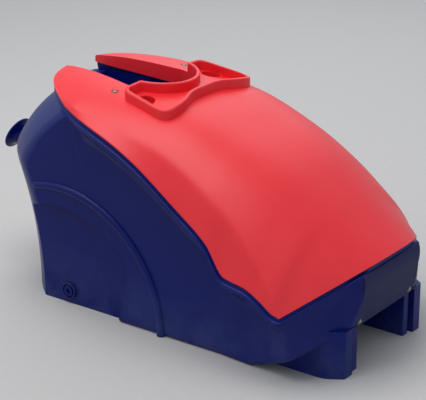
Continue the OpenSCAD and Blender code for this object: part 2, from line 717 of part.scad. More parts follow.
placed() tank();
placed() hood();
placed() front_apron();
placed() filler_neck();
placed() filler_seal();
placed() filler_plug();
placed() drain_bush();
placed() drain_seal();
placed() drain_plug();
placed() hood_insert(1);  // hood_insert_left
placed() hood_insert(-1);  // hood_insert_right
placed() hood_washer(1);  // hood_washer_left
placed() hood_washer(-1);  // hood_washer_right
placed() hood_screw(1);  // hood_screw_left
placed() hood_screw(-1);  // hood_screw_right
placed() apron_insert(1);  // apron_insert_left
placed() apron_insert(-1);  // apron_insert_right
placed() apron_washer(1);  // apron_washer_left
placed() apron_washer(-1);  // apron_washer_right
placed() apron_screw(1);  // apron_screw_left
placed() apron_screw(-1);  // apron_screw_right
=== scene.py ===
import bpy
import bmesh
import math
from mathutils import Matrix, Vector


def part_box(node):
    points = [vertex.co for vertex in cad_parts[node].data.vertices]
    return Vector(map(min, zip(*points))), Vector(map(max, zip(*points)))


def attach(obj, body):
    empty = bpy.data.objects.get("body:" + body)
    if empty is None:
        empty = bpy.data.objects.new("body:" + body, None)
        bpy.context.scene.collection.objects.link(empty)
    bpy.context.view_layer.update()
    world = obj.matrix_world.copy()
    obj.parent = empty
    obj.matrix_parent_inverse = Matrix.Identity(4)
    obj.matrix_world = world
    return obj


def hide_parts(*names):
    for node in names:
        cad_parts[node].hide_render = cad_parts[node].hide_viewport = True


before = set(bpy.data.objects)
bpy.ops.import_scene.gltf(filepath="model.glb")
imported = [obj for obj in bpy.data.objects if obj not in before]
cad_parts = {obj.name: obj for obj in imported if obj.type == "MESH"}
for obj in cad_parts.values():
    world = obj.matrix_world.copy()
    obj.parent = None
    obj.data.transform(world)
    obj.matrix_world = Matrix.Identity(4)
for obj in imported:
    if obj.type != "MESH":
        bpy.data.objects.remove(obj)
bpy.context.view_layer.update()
print("frame loaded:", len(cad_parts), "pieces")

# Shape rules
body = dict(length=0.860, width=0.432, height=0.516, rearBulge=0.150, shoulderR=0.380, cornerR=0.016)
rim = dict(out=0.006, drop=0.009)
hoodSizes = dict(wall=0.005, gap=0.0004, notchMouth=0.051, notchR=0.086, skirt=0.038, pocket=0.072, lip=0.003,
                 creaseSoft=5, tipSkirt=0.014)
collarSizes = dict(height=0.022, wall=0.008, cupR=0.022, cupDepth=0.040, cupWall=0.003, corner=0.040,
                   backCorner=0.012)
legSizes = dict(tunnelHalf=0.096, tunnelH=0.105, inner=0.018, slot=0.013, slotL=0.130)
panel = dict(depth=0.018, arch=0.240, bead=0.285, beadR=0.010, beadEnd=103)

bodyL, halfW, bodyH = body["length"], body["width"] / 2, body["height"]
plugLow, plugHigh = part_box("drain_plug")
# the frame's origin, as the rules below place it: the drain plug is centred on drainX in both
drainX = -0.3535 * bodyL
middleX = drainX - (plugLow[0] + plugHigh[0]) / 2

crownLine = [(-0.5, 0.992), (-0.395, 1), (-0.233, 0.985), (-0.056, 0.948), (0.116, 0.853),
             (0.233, 0.764), (0.349, 0.640), (0.428, 0.548), (0.5, 0.465), (0.53, 0.425)]
creaseLine = [(-0.5, 0.986), (-0.34, 0.94), (-0.056, 0.849), (0.116, 0.721), (0.22, 0.605),
              (0.292, 0.498), (0.351, 0.38), (0.373, 0.31), (0.43, 0.17), (0.53, -0.22)]
creaseWidth = [(-0.338, 0.93), (-0.303, 0.986), (-0.056, 1.028), (0.116, 1.1), (0.292, 1.19),
               (0.373, 1.265), (0.53, 1.265)]
edgeLine = [(-0.5, 0.978), (-0.414, 0.957), (-0.335, 0.917), (-0.198, 0.862), (-0.094, 0.791),
            (0.059, 0.632), (0.152, 0.529), (0.209, 0.411), (0.271, 0.393), (0.313, 0.36),
            (0.355, 0.316), (0.373, 0.308), (0.53, -0.25)]
edgeWidth = [(-0.338, 0.958), (-0.269, 1.056), (-0.198, 1.12), (-0.047, 1.167), (0.059, 1.194),
             (0.209, 1.25), (0.373, 1.27), (0.53, 1.27)]
crownPower = [(-0.5, 3.6), (-0.056, 3.6), (0.373, 2.5), (0.53, 2.5)]
flareLine = [(-0.5, 0.05), (-0.338, 0.06), (-0.15, 0.09), (0.1, 0.12), (0.373, 0.1), (0.5, 0.02)]
wallLine = [(0.15, 1), (0.3, 1.055), (0.378, 1.134), (0.434, 0.833), (0.4907, 0.528), (0.4955, 0.49)]
lowLine = [(0.2465, 0), (0.31, 0.043), (0.349, 0.072), (0.419, 0.14), (0.473, 0.203),
           (0.479, 0.242), (0.486, 0.289), (0.493, 0.349), (0.4955, 0.375)]
topLine = [(0.48, 0.6), (0.4885, 0.446), (0.4935, 0.43), (0.4955, 0.4)]
noseLine = [(0.197, 0.0225), (0.32, 0.006), (0.385, 0), (0.435, 0.0025)]


def curve(points, t):
    n = len(points)
    i = 0
    while i < n - 2 and t >= points[i + 1][0]:
        i += 1

    def rise(k):
        return (points[k + 1][1] - points[k][1]) / (points[k + 1][0] - points[k][0])

    def slope(k):
        if k == 0:
            return rise(0)
        if k == n - 1:
            return rise(n - 2)
        a, b = rise(k - 1), rise(k)
        return 0 if a * b <= 0 else 2 * a * b / (a + b)

    h = points[i + 1][0] - points[i][0]
    s = min(1, max(0, (t - points[i][0]) / h))
    m0, m1 = slope(i) * h, slope(i + 1) * h
    return ((2 * s**3 - 3 * s**2 + 1) * points[i][1] + (s**3 - 2 * s**2 + s) * m0
            + (3 * s**2 - 2 * s**3) * points[i + 1][1] + (s**3 - s**2) * m1)


wingTipX, wingRootX, cornerX, noseX = -0.494 * bodyL, -0.338 * bodyL, 0.373 * bodyL, 0.495 * bodyL
frontSlope = 0.749


def wingShare(x):
    return max(0, (x - wingTipX) / (wingRootX - wingTipX)) ** (1 / 3)


def crownZ(x):
    return bodyH * curve(crownLine, x / bodyL)


def creaseZ(x):
    return bodyH * curve(creaseLine, x / bodyL)


def sideEdgeZ(x):
    return bodyH * curve(edgeLine, x / bodyL)


def sideEdgeY(x):
    if x < wingRootX:
        return halfW * edgeWidth[0][1] * wingShare(x)
    return halfW * curve(edgeWidth, x / bodyL)


def creaseY(x):
    if x < wingRootX:
        return halfW * creaseWidth[0][1] * wingShare(x)
    return halfW * curve(creaseWidth, x / bodyL)


def hoodZ(x, y):
    share = min(1, abs(y) / creaseY(x))
    return crownZ(x) - (crownZ(x) - creaseZ(x)) * share ** curve(crownPower, x / bodyL)


cornerZ = sideEdgeZ(cornerX)


def frontZ(x):
    return cornerZ + frontSlope * (x - cornerX)


def frontY(x):
    share = max(0, (crownZ(x) - frontZ(x)) / (crownZ(x) - creaseZ(x)))
    return creaseY(x) * share ** (1 / curve(crownPower, x / bodyL))


def edgeY(x):
    return sideEdgeY(x) if x < cornerX else frontY(x)


def edgeZ(x):
    return sideEdgeZ(x) if x < cornerX else frontZ(x)


ridgeZ = 0.62 * bodyH
shoulderTilt = math.radians(27.9)


def rearX(z):
    return -0.413 * bodyL - 0.0756 * bodyL * (max(z, 0) / ridgeZ) ** 2.2


def bulge(y):
    return body["rearBulge"] * (1 - (y / halfW) ** 2)


shoulderX = rearX(ridgeZ) + body["shoulderR"] * math.cos(shoulderTilt)
shoulderZ = ridgeZ - body["shoulderR"] * math.sin(shoulderTilt)
saddleZ = 0.925 * bodyH


def saddle(y):
    return saddleZ - 0.04 * bodyH * (y / halfW) ** 4


def rimY(x):
    return edgeY(x) + rim["out"] * min(1, max(-0.6, (x - wingTipX) / 0.120 - 0.6))


def wallY(x):
    if x < 0.15 * bodyL:
        return min(halfW, rimY(x) - 3 * rim["out"])
    return halfW * curve(wallLine, x / bodyL)


def lowZ(x):
    return 0.7 * bodyH if x < wingRootX + 0.025 else bodyH * curve(lowLine, x / bodyL)


def noseTop(x):
    return 2 if x < 0.48 * bodyL else bodyH * curve(topLine, x / bodyL)


notchEndX = -0.127 * bodyL
notchMidX = notchEndX - hoodSizes["notchR"]
pocketX, pocketZ = -0.452 * bodyL, bodyH - hoodSizes["pocket"]
skirtZ = crownZ(notchEndX) - hoodSizes["skirt"]
tunnelX, legFrontX, outerLegX = 0.14 * bodyL, 0.467 * bodyL, 0.4755 * bodyL
print("shape rules ready")


# Mesh helpers
def spread(start, end, count, bend=1):
    return [start + (end - start) * (i / (count - 1)) ** bend for i in range(count)]


def rounded(points, radii, steps=4):
    out = []
    for i, p in enumerate(points):
        r = radii[i]
        if r <= 0 or i in (0, len(points) - 1):
            out.append(p)
            continue
        a, b, c = Vector(points[i - 1]), Vector(p), Vector(points[i + 1])
        back = min(r, (a - b).length * 0.48)
        ahead = min(r, (c - b).length * 0.48)
        s, e = b + (a - b).normalized() * back, b + (c - b).normalized() * ahead
        for k in range(steps + 1):
            t = k / steps
            q = s * (1 - t) ** 2 + b * 2 * t * (1 - t) + e * t * t
            out.append(tuple(q))
    return out


def newObject(name, mesh):
    obj = bpy.data.objects.new(name, mesh)
    bpy.context.scene.collection.objects.link(obj)
    return obj


def fromBmesh(name, bm, turn=True):
    if turn:
        bmesh.ops.recalc_face_normals(bm, faces=bm.faces)
    mesh = bpy.data.meshes.new(name)
    bm.to_mesh(mesh)
    bm.free()
    return newObject(name, mesh)


def loft(name, rings, closed=True):
    bm = bmesh.new()
    rows = [[bm.verts.new((p[0] - middleX, p[1], p[2])) for p in ring] for ring in rings]
    n = len(rows[0])
    for a, b in zip(rows, rows[1:]):
        for j in range(n):
            k = (j + 1) % n
            bm.faces.new((a[j], a[k], b[k], b[j]))
    if closed:
        bm.faces.new(rows[0][::-1])
        bm.faces.new(rows[-1])
    return fromBmesh(name, bm)


def wholeRing(x, half):
    ring = [(x, p[0], p[1]) for p in half]
    ring += [(x, -p[0], p[1]) for p in reversed(half) if p[0] > 1e-5]
    return ring


def prism(name, outline, low, high):
    bm = bmesh.new()
    rows = [[bm.verts.new((p[0] - middleX, p[1], z)) for p in outline] for z in (low, high)]
    n = len(outline)
    for j in range(n):
        k = (j + 1) % n
        bm.faces.new((rows[0][j], rows[0][k], rows[1][k], rows[1][j]))
    bm.faces.new(rows[0][::-1])
    bm.faces.new(rows[1])
    return fromBmesh(name, bm)


def turned(name, profile, place, count=96, caps=True):
    bm = bmesh.new()
    rows = []
    for r, z in profile:
        if r < 1e-6:
            rows.append([bm.verts.new(place @ Vector((0, 0, z)))])
        else:
            rows.append([bm.verts.new(place @ Vector((r * math.cos(2 * math.pi * i / count),
                                                      r * math.sin(2 * math.pi * i / count), z)))
                         for i in range(count)])
    for a, b in zip(rows, rows[1:]):
        for i in range(count):
            k = (i + 1) % count
            if len(a) == 1 and len(b) == 1:
                continue
            if len(a) == 1:
                bm.faces.new((a[0], b[k], b[i]))
            elif len(b) == 1:
                bm.faces.new((a[i], a[k], b[0]))
            else:
                bm.faces.new((a[i], a[k], b[k], b[i]))
    for row in (rows[0], rows[-1]):
        if len(row) > 1 and caps:
            bm.faces.new(row)
    return fromBmesh(name, bm)


def placeAt(x, y, z, axis=(0, 0, 1)):
    turn = Vector(axis).to_track_quat("Z", "Y").to_matrix().to_4x4()
    return Matrix.Translation((x - middleX, y, z)) @ turn


def rod(name, r, low, high, place, count=96):
    return turned(name, [(r, low), (r, high)], place, count)


def applied(obj):
    dg = bpy.context.evaluated_depsgraph_get()
    mesh = bpy.data.meshes.new_from_object(obj.evaluated_get(dg))
    obj.modifiers.clear()
    obj.data = mesh
    return obj


def joinShapes(obj, others, operation, solver="MANIFOLD"):
    for other in others:
        mod = obj.modifiers.new("join", "BOOLEAN")
        mod.operation = operation
        mod.object = other
        mod.solver = solver
        applied(obj)
        bpy.data.objects.remove(other)
    return obj


def softened(obj, width, angle=38, segments=2):
    mod = obj.modifiers.new("soft", "BEVEL")
    mod.width, mod.segments, mod.limit_method = width, segments, "ANGLE"
    mod.angle_limit = math.radians(angle)
    return applied(obj)


def smoothed(obj, angle=35):
    obj.data.shade_smooth()
    obj.data.set_sharp_from_angle(angle=math.radians(angle))
    mod = obj.modifiers.new("flat faces lead", "WEIGHTED_NORMAL")
    mod.keep_sharp, mod.weight = True, 60
    return applied(obj)


# Plans
def notchPlan(margin=0.0, steps=48):
    mouth, r = hoodSizes["notchMouth"] + margin, hoodSizes["notchR"] + margin
    points = [(wingTipX - 0.040, -mouth), (wingTipX + 0.030, -mouth - 0.003)]
    points += [(notchMidX + r * math.sin(a), -r * math.cos(a)) for a in spread(0, math.pi, steps)]
    points += [(wingTipX + 0.030, mouth + 0.003), (wingTipX - 0.040, mouth)]
    return points


collarBackX, collarFrontX, collarMidX = -0.215 * bodyL, -0.058 * bodyL, -0.074 * bodyL
collarOutY = 0.77 * halfW


def collarOutline(inset=0.0):
    r, soft, steps = hoodSizes["notchR"] + inset, collarSizes["backCorner"], 8
    backX = collarBackX + 0.006 + inset
    startY = math.sqrt(r * r - (backX - notchMidX) ** 2)
    wide = collarSizes["corner"] - inset
    side = [(backX, startY + soft), (collarBackX + inset, 0.87 * collarOutY - inset),
            (collarFrontX + 0.004 - inset, collarOutY - inset),
            (collarFrontX + 0.008 - inset, 0.6 * collarOutY),
            (collarMidX - inset, 0.3 * collarOutY), (collarMidX - inset, 0)]
    half = rounded(side, [0, 0.6 * wide, wide, 0.06, 0.03, 0], steps)
    turn = math.atan2(startY, backX - notchMidX)
    edge = turn - soft / r
    arc = [(notchMidX + r * math.cos(a), r * math.sin(a)) for a in spread(-edge, edge, 60)]
    # blend from the notch's arc into the back wall
    join = rounded([arc[-1], (backX, startY), side[0]], [0, soft / 0.48, 0], steps)[1:-1]
    mirrored = [(x, -y) for x, y in reversed(half[:-1])] + [(x, -y) for x, y in reversed(join)]
    return arc + join + half + mirrored


# Hood
def hoodHalf(x, drop, inset, floor, steps=44):
    cy = creaseY(x) - inset * 0.7
    ey = max(sideEdgeY(x) - inset, cy + 0.0003)
    lipZ = min(sideEdgeZ(x) + hoodSizes["lip"], creaseZ(x) - drop - 0.0006)
    top = [(cy * s, hoodZ(x, cy * s * creaseY(x) / cy) - drop) for s in spread(0, 1, steps, 0.8)]
    side = [(top[-1][0] + (ey - top[-1][0]) * k / 12,
             top[-1][1] + (lipZ - top[-1][1]) * k / 12) for k in range(1, 13)]
    points = top + side
    for _ in range(hoodSizes["creaseSoft"]):
        points = [p if i < steps - 8 or i > len(points) - 5 else
                  ((points[i - 1][0] + 2 * p[0] + points[i + 1][0]) / 4,
                   (points[i - 1][1] + 2 * p[1] + points[i + 1][1]) / 4)
                  for i, p in enumerate(points)]
    return points + [(ey, sideEdgeZ(x) - floor), (0, sideEdgeZ(x) - floor)]


def hoodStations(count=150):
    first = [wingTipX + (wingRootX - wingTipX) * s for s in spread(0.012, 1, 34, 2.2)]
    return first + spread(wingRootX, 0.515 * bodyL, count)[1:]


def hoodForm(name, drop, inset, floor, lift=0.0):
    rings = [wholeRing(x, [(y, z + lift) for y,
                           z in hoodHalf(x, drop, inset, floor)]) for x in hoodStations()]
    return loft(name, rings)


def frontCutter(lift=0.0):
    a = math.atan(frontSlope)
    along, down = Vector((math.cos(a), 0, math.sin(a))), Vector((math.sin(a), 0, -math.cos(a)))
    start = Vector((cornerX, 0, cornerZ - lift))
    corners = [start - along, start + along, start + along + down, start - along + down]
    return loft("frontCutter", [[(c.x, -1, c.z) for c in corners], [(c.x, 1, c.z) for c in corners]])


def collarRing():
    outer, inner = collarOutline(), collarOutline(collarSizes["wall"])
    n = len(outer)
    wall, high = collarSizes["wall"], collarSizes["height"]
    profile = [(0.0, -0.004), (0.0, high - 0.004), (0.02, high - 0.002), (0.12, high - 0.0006),
               (0.30, high), (0.70, high),
               (0.88, high - 0.0006), (0.98, high - 0.002), (1.0, high - 0.004), (1.0, -0.004)]
    rings = []
    for i in range(n):
        (ox, oy), (ix, iy) = outer[i], inner[i]
        ring = []
        for s, up in profile:
            x, y = ox + (ix - ox) * s, oy + (iy - oy) * s
            ring.append((x, y, hoodZ(x, y) + up))
        rings.append(ring)
    rings.append(rings[0])
    obj = loft("collar", rings, closed=False)
    bm = bmesh.new()
    bm.from_mesh(obj.data)
    bmesh.ops.remove_doubles(bm, verts=bm.verts, dist=1e-6)
    bmesh.ops.recalc_face_normals(bm, faces=bm.faces)
    bm.to_mesh(obj.data)
    bm.free()
    return obj


cupX, cupY = collarBackX + 0.048, 0.56 * halfW
cupBottomZ = hoodZ(cupX, cupY) - collarSizes["cupDepth"]
screwX, screwY = -0.252 * bodyL, 0.583 * halfW
screwZ = hoodZ(screwX, screwY)


def makeHood():
    shell = hoodForm("hood", 0, 0, 0)
    joinShapes(shell, [hoodForm("inner", hoodSizes["wall"], hoodSizes["wall"], 0.030)], "DIFFERENCE")
    skirt = prism("skirt", notchPlan(hoodSizes["wall"]), bodyH / 2, 1.5 * bodyH)
    joinShapes(skirt, [hoodForm("cap", 0, 0, 0.060)], "INTERSECT")
    under = hoodForm("under", 0, -0.060, 0.080, -hoodSizes["skirt"])
    rise = loft("rise", [[(wingTipX - 0.03, y, 0), (notchMidX + 0.02, y, 0),
                          (notchMidX + 0.02, y, crownZ(notchMidX) - 0.040),
                          (wingTipX - 0.03, y, crownZ(wingTipX) - hoodSizes["tipSkirt"])] for y in (-0.3,
                                                                                                    0.3)])
    joinShapes(skirt, [under, rise], "DIFFERENCE")
    joinShapes(shell, [skirt], "UNION")
    for side in (-1, 1):
        low = cupBottomZ - collarSizes["cupWall"]
        place = placeAt(cupX, side * cupY, 0)
        tub = rod("tub", collarSizes["cupR"] + collarSizes["cupWall"], low, hoodZ(cupX, cupY) - 0.003, place)
        joinShapes(shell, [tub], "UNION")
    cuts = [prism("notch", notchPlan(), bodyH / 2, 1.5 * bodyH), frontCutter()]
    for side in (-1, 1):
        cuts.append(turned("cup", [(0.9 * collarSizes["cupR"], cupBottomZ),
                                   (collarSizes["cupR"], cupBottomZ + 0.002),
                                   (collarSizes["cupR"], 1)], placeAt(cupX, side * cupY, 0)))
        cuts.append(rod("spot", 0.0087, screwZ - 0.0018, screwZ + 0.02, placeAt(screwX, side * screwY, 0),
                        48))
        cuts.append(rod("hole", 0.0033, 0, 1, placeAt(screwX, side * screwY, 0), 32))
    joinShapes(shell, cuts, "DIFFERENCE")
    softened(shell, 0.0022, 50, 3)
    joinShapes(shell, [collarRing()], "UNION")
    return smoothed(shell, 40)


# Tank
def tankHalf(x):
    e, z, w = max(edgeY(x) - 0.0015, 0.006), min(edgeZ(x), noseTop(x)), wallY(x)
    out = max(rimY(x), w)
    q = min(1, (z - lowZ(x)) / 0.090)
    drop = rim["drop"] * q
    foot = z - drop - 0.009 * q
    f = min(bodyH * curve(flareLine, x / bodyL), foot - lowZ(x) - 0.008 * q)
    points = [(0, z - 0.0015 * q), (e, z - 0.0015 * q), (e, z - drop), (out - 0.003, z - drop - 0.0004 * q),
              (out, z - drop - 0.004 * q), (out - 0.0005, foot)]
    radii = [0, 0.001, 0.001, 0.002, 0.002, 0.003]
    for s in spread(0, 1, 12)[1:]:
        points.append((w + (out - 0.0005 - w) * (1 - s) ** 2, foot - f * s))
        radii.append(0)
    points += [(w - 0.0002, lowZ(x) + 0.006 * q), (w - 0.006, lowZ(x)), (0, lowZ(x))]
    radii += [0.003, 0.003, 0]
    return rounded(points, radii, 3)


def tankStations():
    first = [wingTipX + (wingRootX - wingTipX) * s for s in spread(0.012, 1, 30, 2.2)]
    last = [0.4835, 0.486, 0.4885, 0.491, 0.4935, 0.4955]
    return first + spread(wingRootX, 0.48 * bodyL, 110)[1:] + [u * bodyL for u in last]


def rearRing(y):
    r = body["shoulderR"]
    b = bulge(y)
    corner = body["cornerR"]
    over = max(0, abs(y) - (halfW - corner)) / corner
    back = corner * (1 - math.sqrt(max(0, 1 - min(1, over) ** 2)))
    a1, a2 = math.pi - shoulderTilt, math.pi - math.asin((saddle(y) - shoulderZ) / r)
    endX = wingRootX + 0.090
    wall = [(rearX(z) - b + back, z) for z in spread(0, ridgeZ, 22)]
    arc = [(shoulderX - b + back + r * math.cos(a), shoulderZ + r * math.sin(a)) for a in spread(a1, a2, 26)]
    soft = wall[:-1] + arc
    for _ in range(2):
        soft = [p if i < 17 or i > 26 else
                ((soft[i - 1][0] + 2 * p[0] + soft[i + 1][0]) / 4,
                 (soft[i - 1][1] + 2 * p[1] + soft[i + 1][1]) / 4)
                for i, p in enumerate(soft)]
    ring = [(endX, 0)] + rounded([(soft[0][0] + 0.004, 0), soft[0]] + soft[1:3], [0, 0.003, 0, 0],
                                 3)[1:] + soft[3:]
    return [(x, y, z) for x, z in ring + [(endX, saddle(y))]]


def rearForm():
    edge = [halfW - body["cornerR"] + body["cornerR"] * math.sin(a) for a in spread(0, math.pi / 2, 8)]
    ys = [-y for y in reversed(edge)] + spread(-edge[0], edge[0], 50)[1:-1] + edge
    return loft("rear", [rearRing(y) for y in ys])


def beadTree():
    tree = bpy.data.node_groups.new("arch bead", "GeometryNodeTree")
    face = tree.interface
    ids = {}
    for label, value in (("Arch Radius", panel["bead"]), ("Bead Radius", panel["beadR"]),
                         ("Sweep", math.radians(panel["beadEnd"])), ("Steps", 90)):
        kind = "NodeSocketInt" if label == "Steps" else "NodeSocketFloat"
        socket = face.new_socket(label, in_out="INPUT", socket_type=kind)
        socket.default_value = value
        ids[label] = socket.identifier
    paint = face.new_socket("Finish", in_out="INPUT", socket_type="NodeSocketMaterial")
    ids["Finish"] = paint.identifier
    face.new_socket("Geometry", in_out="OUTPUT", socket_type="NodeSocketGeometry")
    nodes, links = tree.nodes, tree.links
    start, end = nodes.new("NodeGroupInput"), nodes.new("NodeGroupOutput")
    arc, ring, sweep = (nodes.new(k) for k in ("GeometryNodeCurveArc", "GeometryNodeCurvePrimitiveCircle",
                                               "GeometryNodeCurveToMesh"))
    real, coat = nodes.new("GeometryNodeRealizeInstances"), nodes.new("GeometryNodeSetMaterial")
    ring.inputs["Resolution"].default_value = 24
    links.new(start.outputs["Arch Radius"], arc.inputs["Radius"])
    links.new(start.outputs["Sweep"], arc.inputs["Sweep Angle"])
    links.new(start.outputs["Steps"], arc.inputs["Resolution"])
    links.new(start.outputs["Bead Radius"], ring.inputs["Radius"])
    links.new(arc.outputs["Curve"], sweep.inputs["Curve"])
    links.new(ring.outputs["Curve"], sweep.inputs["Profile Curve"])
    sweep.inputs["Fill Caps"].default_value = True
    links.new(sweep.outputs["Mesh"], real.inputs["Geometry"])
    links.new(real.outputs["Geometry"], coat.inputs["Geometry"])
    links.new(start.outputs["Finish"], coat.inputs["Material"])
    links.new(coat.outputs["Geometry"], end.inputs["Geometry"])
    return tree, ids


def makeBead(tree, side):
    obj = newObject("bead", bpy.data.meshes.new("bead"))
    mod = obj.modifiers.new("bead", "NODES")
    mod.node_group = tree
    applied(obj)
    bm = bmesh.new()
    bm.from_mesh(obj.data)
    bmesh.ops.remove_doubles(bm, verts=bm.verts, dist=1e-6)
    bmesh.ops.transform(bm, verts=bm.verts, matrix=Matrix.Translation((-0.364 * bodyL - middleX,
                                                                       side * (halfW - 0.002), 0))
                        @ Matrix.Rotation(math.pi / 2, 4, "X"))
    bmesh.ops.recalc_face_normals(bm, faces=bm.faces)
    bm.to_mesh(obj.data)
    bm.free()
    end = math.radians(panel["beadEnd"])
    x = -0.364 * bodyL + panel["bead"] * math.cos(end)
    bm = bmesh.new()
    bmesh.ops.create_uvsphere(bm, u_segments=32, v_segments=16, radius=panel["beadR"] * 0.998,
                              matrix=Matrix.Translation((x - middleX, side * (halfW - 0.002),
                                                         panel["bead"] * math.sin(end))))
    ball = fromBmesh("beadEnd", bm)
    return joinShapes(obj, [ball], "UNION")


def sidePanel(side):
    r, endX = panel["arch"], -0.136 * bodyL
    midX = -0.364 * bodyL
    a = math.acos((endX - midX) / r)
    points = [(midX - 0.4, -0.01), (endX - 0.030, -0.01), (endX - 0.0285, 0.01),
              (endX, r * math.sin(a) * 0.97)]
    points += [(midX + r * math.cos(t), r * math.sin(t)) for t in spread(a + 0.03, math.pi * 0.99, 70)]
    low, high = side * (halfW - panel["depth"]), side * (halfW + 0.2)
    small = []
    for x, z in points:
        v = Vector((x - midX, z)) * 0.97
        small.append((midX + v.x, v.y if z > 0 else z))
    rings = [[(x, y, z) for x, z in ring] for y,
             ring in ((low, small), (low + side * 0.004, points), (high, points))]
    return loft("recess", rings)


noseSteps = 24


def nosePoints(back, low, high):
    return [(noseX - bodyL * curve(noseLine, z / bodyH) - back, z) for z in spread(low, high, noseSteps)]


def noseSlab(name, half, back, depth, low, high):
    outline = nosePoints(back, low, high) + nosePoints(back + depth, low, high)[::-1]
    return loft(name, [[(x, y, z) for x, z in outline] for y in (-half, half)])


apronSizes = dict(half=0.114, wall=0.005, low=0.2 * bodyH, high=0.43 * bodyH, edge=0.0016,
                  roll=0.0024, topRound=0.004)
apronLean = math.atan((0.0225 - 0.006) * bodyL / ((0.32 - 0.197) * bodyH))
apronScrewY, apronScrewZ = 0.9 * apronSizes["half"], apronSizes["low"] + 0.009
apronScrewX = noseX - bodyL * curve(noseLine, apronScrewZ / bodyH)
apronAxis = (math.cos(apronLean), 0, -math.sin(apronLean))

fillerTilt = math.radians(26)
fillerZ = 0.485 * bodyH
fillerX = rearX(fillerZ) - body["rearBulge"]
fillerSizes = dict(shankR=0.020, neckWall=0.009, bossWall=0.009, bossL=0.042, threadL=0.024, flange=0.004,
                   seal=0.002, knobL=0.060, knobR=0.042)
fillerAxis = Vector((-math.cos(fillerTilt), 0, math.sin(fillerTilt)))


def fillerPlace(along):
    p = Vector((fillerX, 0, fillerZ)) + fillerAxis * (fillerSizes["bossL"] + along)
    return placeAt(p.x, p.y, p.z, fillerAxis)


drainZ = 0.031
drainSizes = dict(shankR=0.008, bushWall=0.006, ringR=0.020, threadL=0.015, seal=0.0016, head=0.005)


def drainPlace(along):
    return placeAt(drainX, -(halfW - panel["depth"]) - along, drainZ, (0, -1, 0))


def legsPlan(side):
    split = legSizes["tunnelHalf"] + legSizes["inner"]
    points = [(tunnelX, legSizes["tunnelHalf"]), (legFrontX, legSizes["tunnelHalf"]),
              (legFrontX, split + legSizes["slot"] / 2),
              (outerLegX, split + legSizes["slot"] / 2), (outerLegX, 0.72 * halfW),
              (0.434 * bodyL, 0.833 * halfW),
              (tunnelX, 0.833 * halfW)]
    points = rounded(points, [0, 0.003, 0, 0, 0.004, 0.02, 0], 4)
    return [(x, side * y) for x, y in points]


def makeTank():
    tank = loft("tank", [wholeRing(x, tankHalf(x)) for x in tankStations()])
    margin = hoodSizes["wall"] + hoodSizes["gap"]
    dome = hoodForm("dome", margin, margin, 0.003)
    joinShapes(dome, [frontCutter(0.003)], "DIFFERENCE")
    joinShapes(tank, [dome], "UNION")
    joinShapes(tank, [prism("over", notchPlan(margin), saddleZ, 1)], "DIFFERENCE")
    joinShapes(tank, [rearForm()], "UNION")
    tree, _ = beadTree()
    for side in (-1, 1):
        joinShapes(tank, [makeBead(tree, side),
                          prism("legs", legsPlan(side), 0, legSizes["tunnelH"] + 0.003)], "UNION")
    boss = rod("boss", fillerSizes["shankR"] + fillerSizes["neckWall"] + fillerSizes["bossWall"],
               -fillerSizes["bossL"] - 0.020, 0, fillerPlace(0))
    joinShapes(tank, [boss], "UNION")
    cuts = [sidePanel(-1), sidePanel(1)]
    pocketPlan = [(max(x, pocketX), y) for x, y in notchPlan()][1:-1]
    cuts.append(prism("pocket", pocketPlan, pocketZ, 1))
    groove = prism("groove", notchPlan(margin), skirtZ - 0.002, 1)
    joinShapes(groove, [prism("core", notchPlan(-hoodSizes["gap"]), 0, 1.1)], "DIFFERENCE")
    cuts.append(groove)
    half = legSizes["tunnelHalf"]
    cuts.append(prism("tunnel", [(tunnelX, -half), (0.6, -half), (0.6, half), (tunnelX, half)], -0.01,
                      legSizes["tunnelH"]))
    for side in (-1, 1):
        low = half + legSizes["inner"]
        high = low + legSizes["slot"]
        cuts.append(prism("slot", [(outerLegX - legSizes["slotL"], side * low), (0.6, side * low),
                                   (0.6, side * high),
                                   (outerLegX - legSizes["slotL"], side * high)], -0.01, legSizes["tunnelH"]))
        cuts.append(rod("cupHole", collarSizes["cupR"] + collarSizes["cupWall"] + 0.0005,
                        cupBottomZ - collarSizes["cupWall"] - 0.0003, 1, placeAt(cupX, side * cupY, 0)))
        cuts.append(rod("insertHole", 0.0055, screwZ - 0.021, 1, placeAt(screwX, side * screwY, 0), 32))
        cuts.append(rod("apronHole", 0.0055, -0.0193, 0.1,
                        placeAt(apronScrewX, side * apronScrewY, apronScrewZ, apronAxis), 32))
    cuts.append(noseSlab("seat", apronSizes["half"] + 0.0004, -0.060, 0.060 + apronSizes["wall"] + 0.0003,
                         apronSizes["low"] - 0.001, apronSizes["high"] + 0.020))
    cuts.append(rod("neckHole", fillerSizes["shankR"] + fillerSizes["neckWall"],
                    -fillerSizes["bossL"] - 0.010, 1, fillerPlace(0)))
    cuts.append(rod("drainHole", drainSizes["shankR"] + drainSizes["bushWall"], -0.024, 1, drainPlace(0), 64))
    joinShapes(tank, cuts, "DIFFERENCE")
    ring = turned("ring", [(drainSizes["ringR"] - 0.0045, -0.002), (drainSizes["ringR"] - 0.0045, 0.0045),
                           (drainSizes["ringR"] - 0.0035, 0.006), (drainSizes["ringR"] - 0.001, 0.006),
                           (drainSizes["ringR"], 0.005),
                           (drainSizes["ringR"], -0.002), (drainSizes["ringR"] - 0.0045, -0.002)],
                  drainPlace(0), 72, caps=False)
    bm = bmesh.new()
    bm.from_mesh(ring.data)
    bmesh.ops.remove_doubles(bm, verts=bm.verts, dist=1e-6)
    bmesh.ops.recalc_face_normals(bm, faces=bm.faces)
    bm.to_mesh(ring.data)
    bm.free()
    joinShapes(tank, [ring], "UNION")
    softened(tank, 0.0022, 42)
    return smoothed(tank, 38)


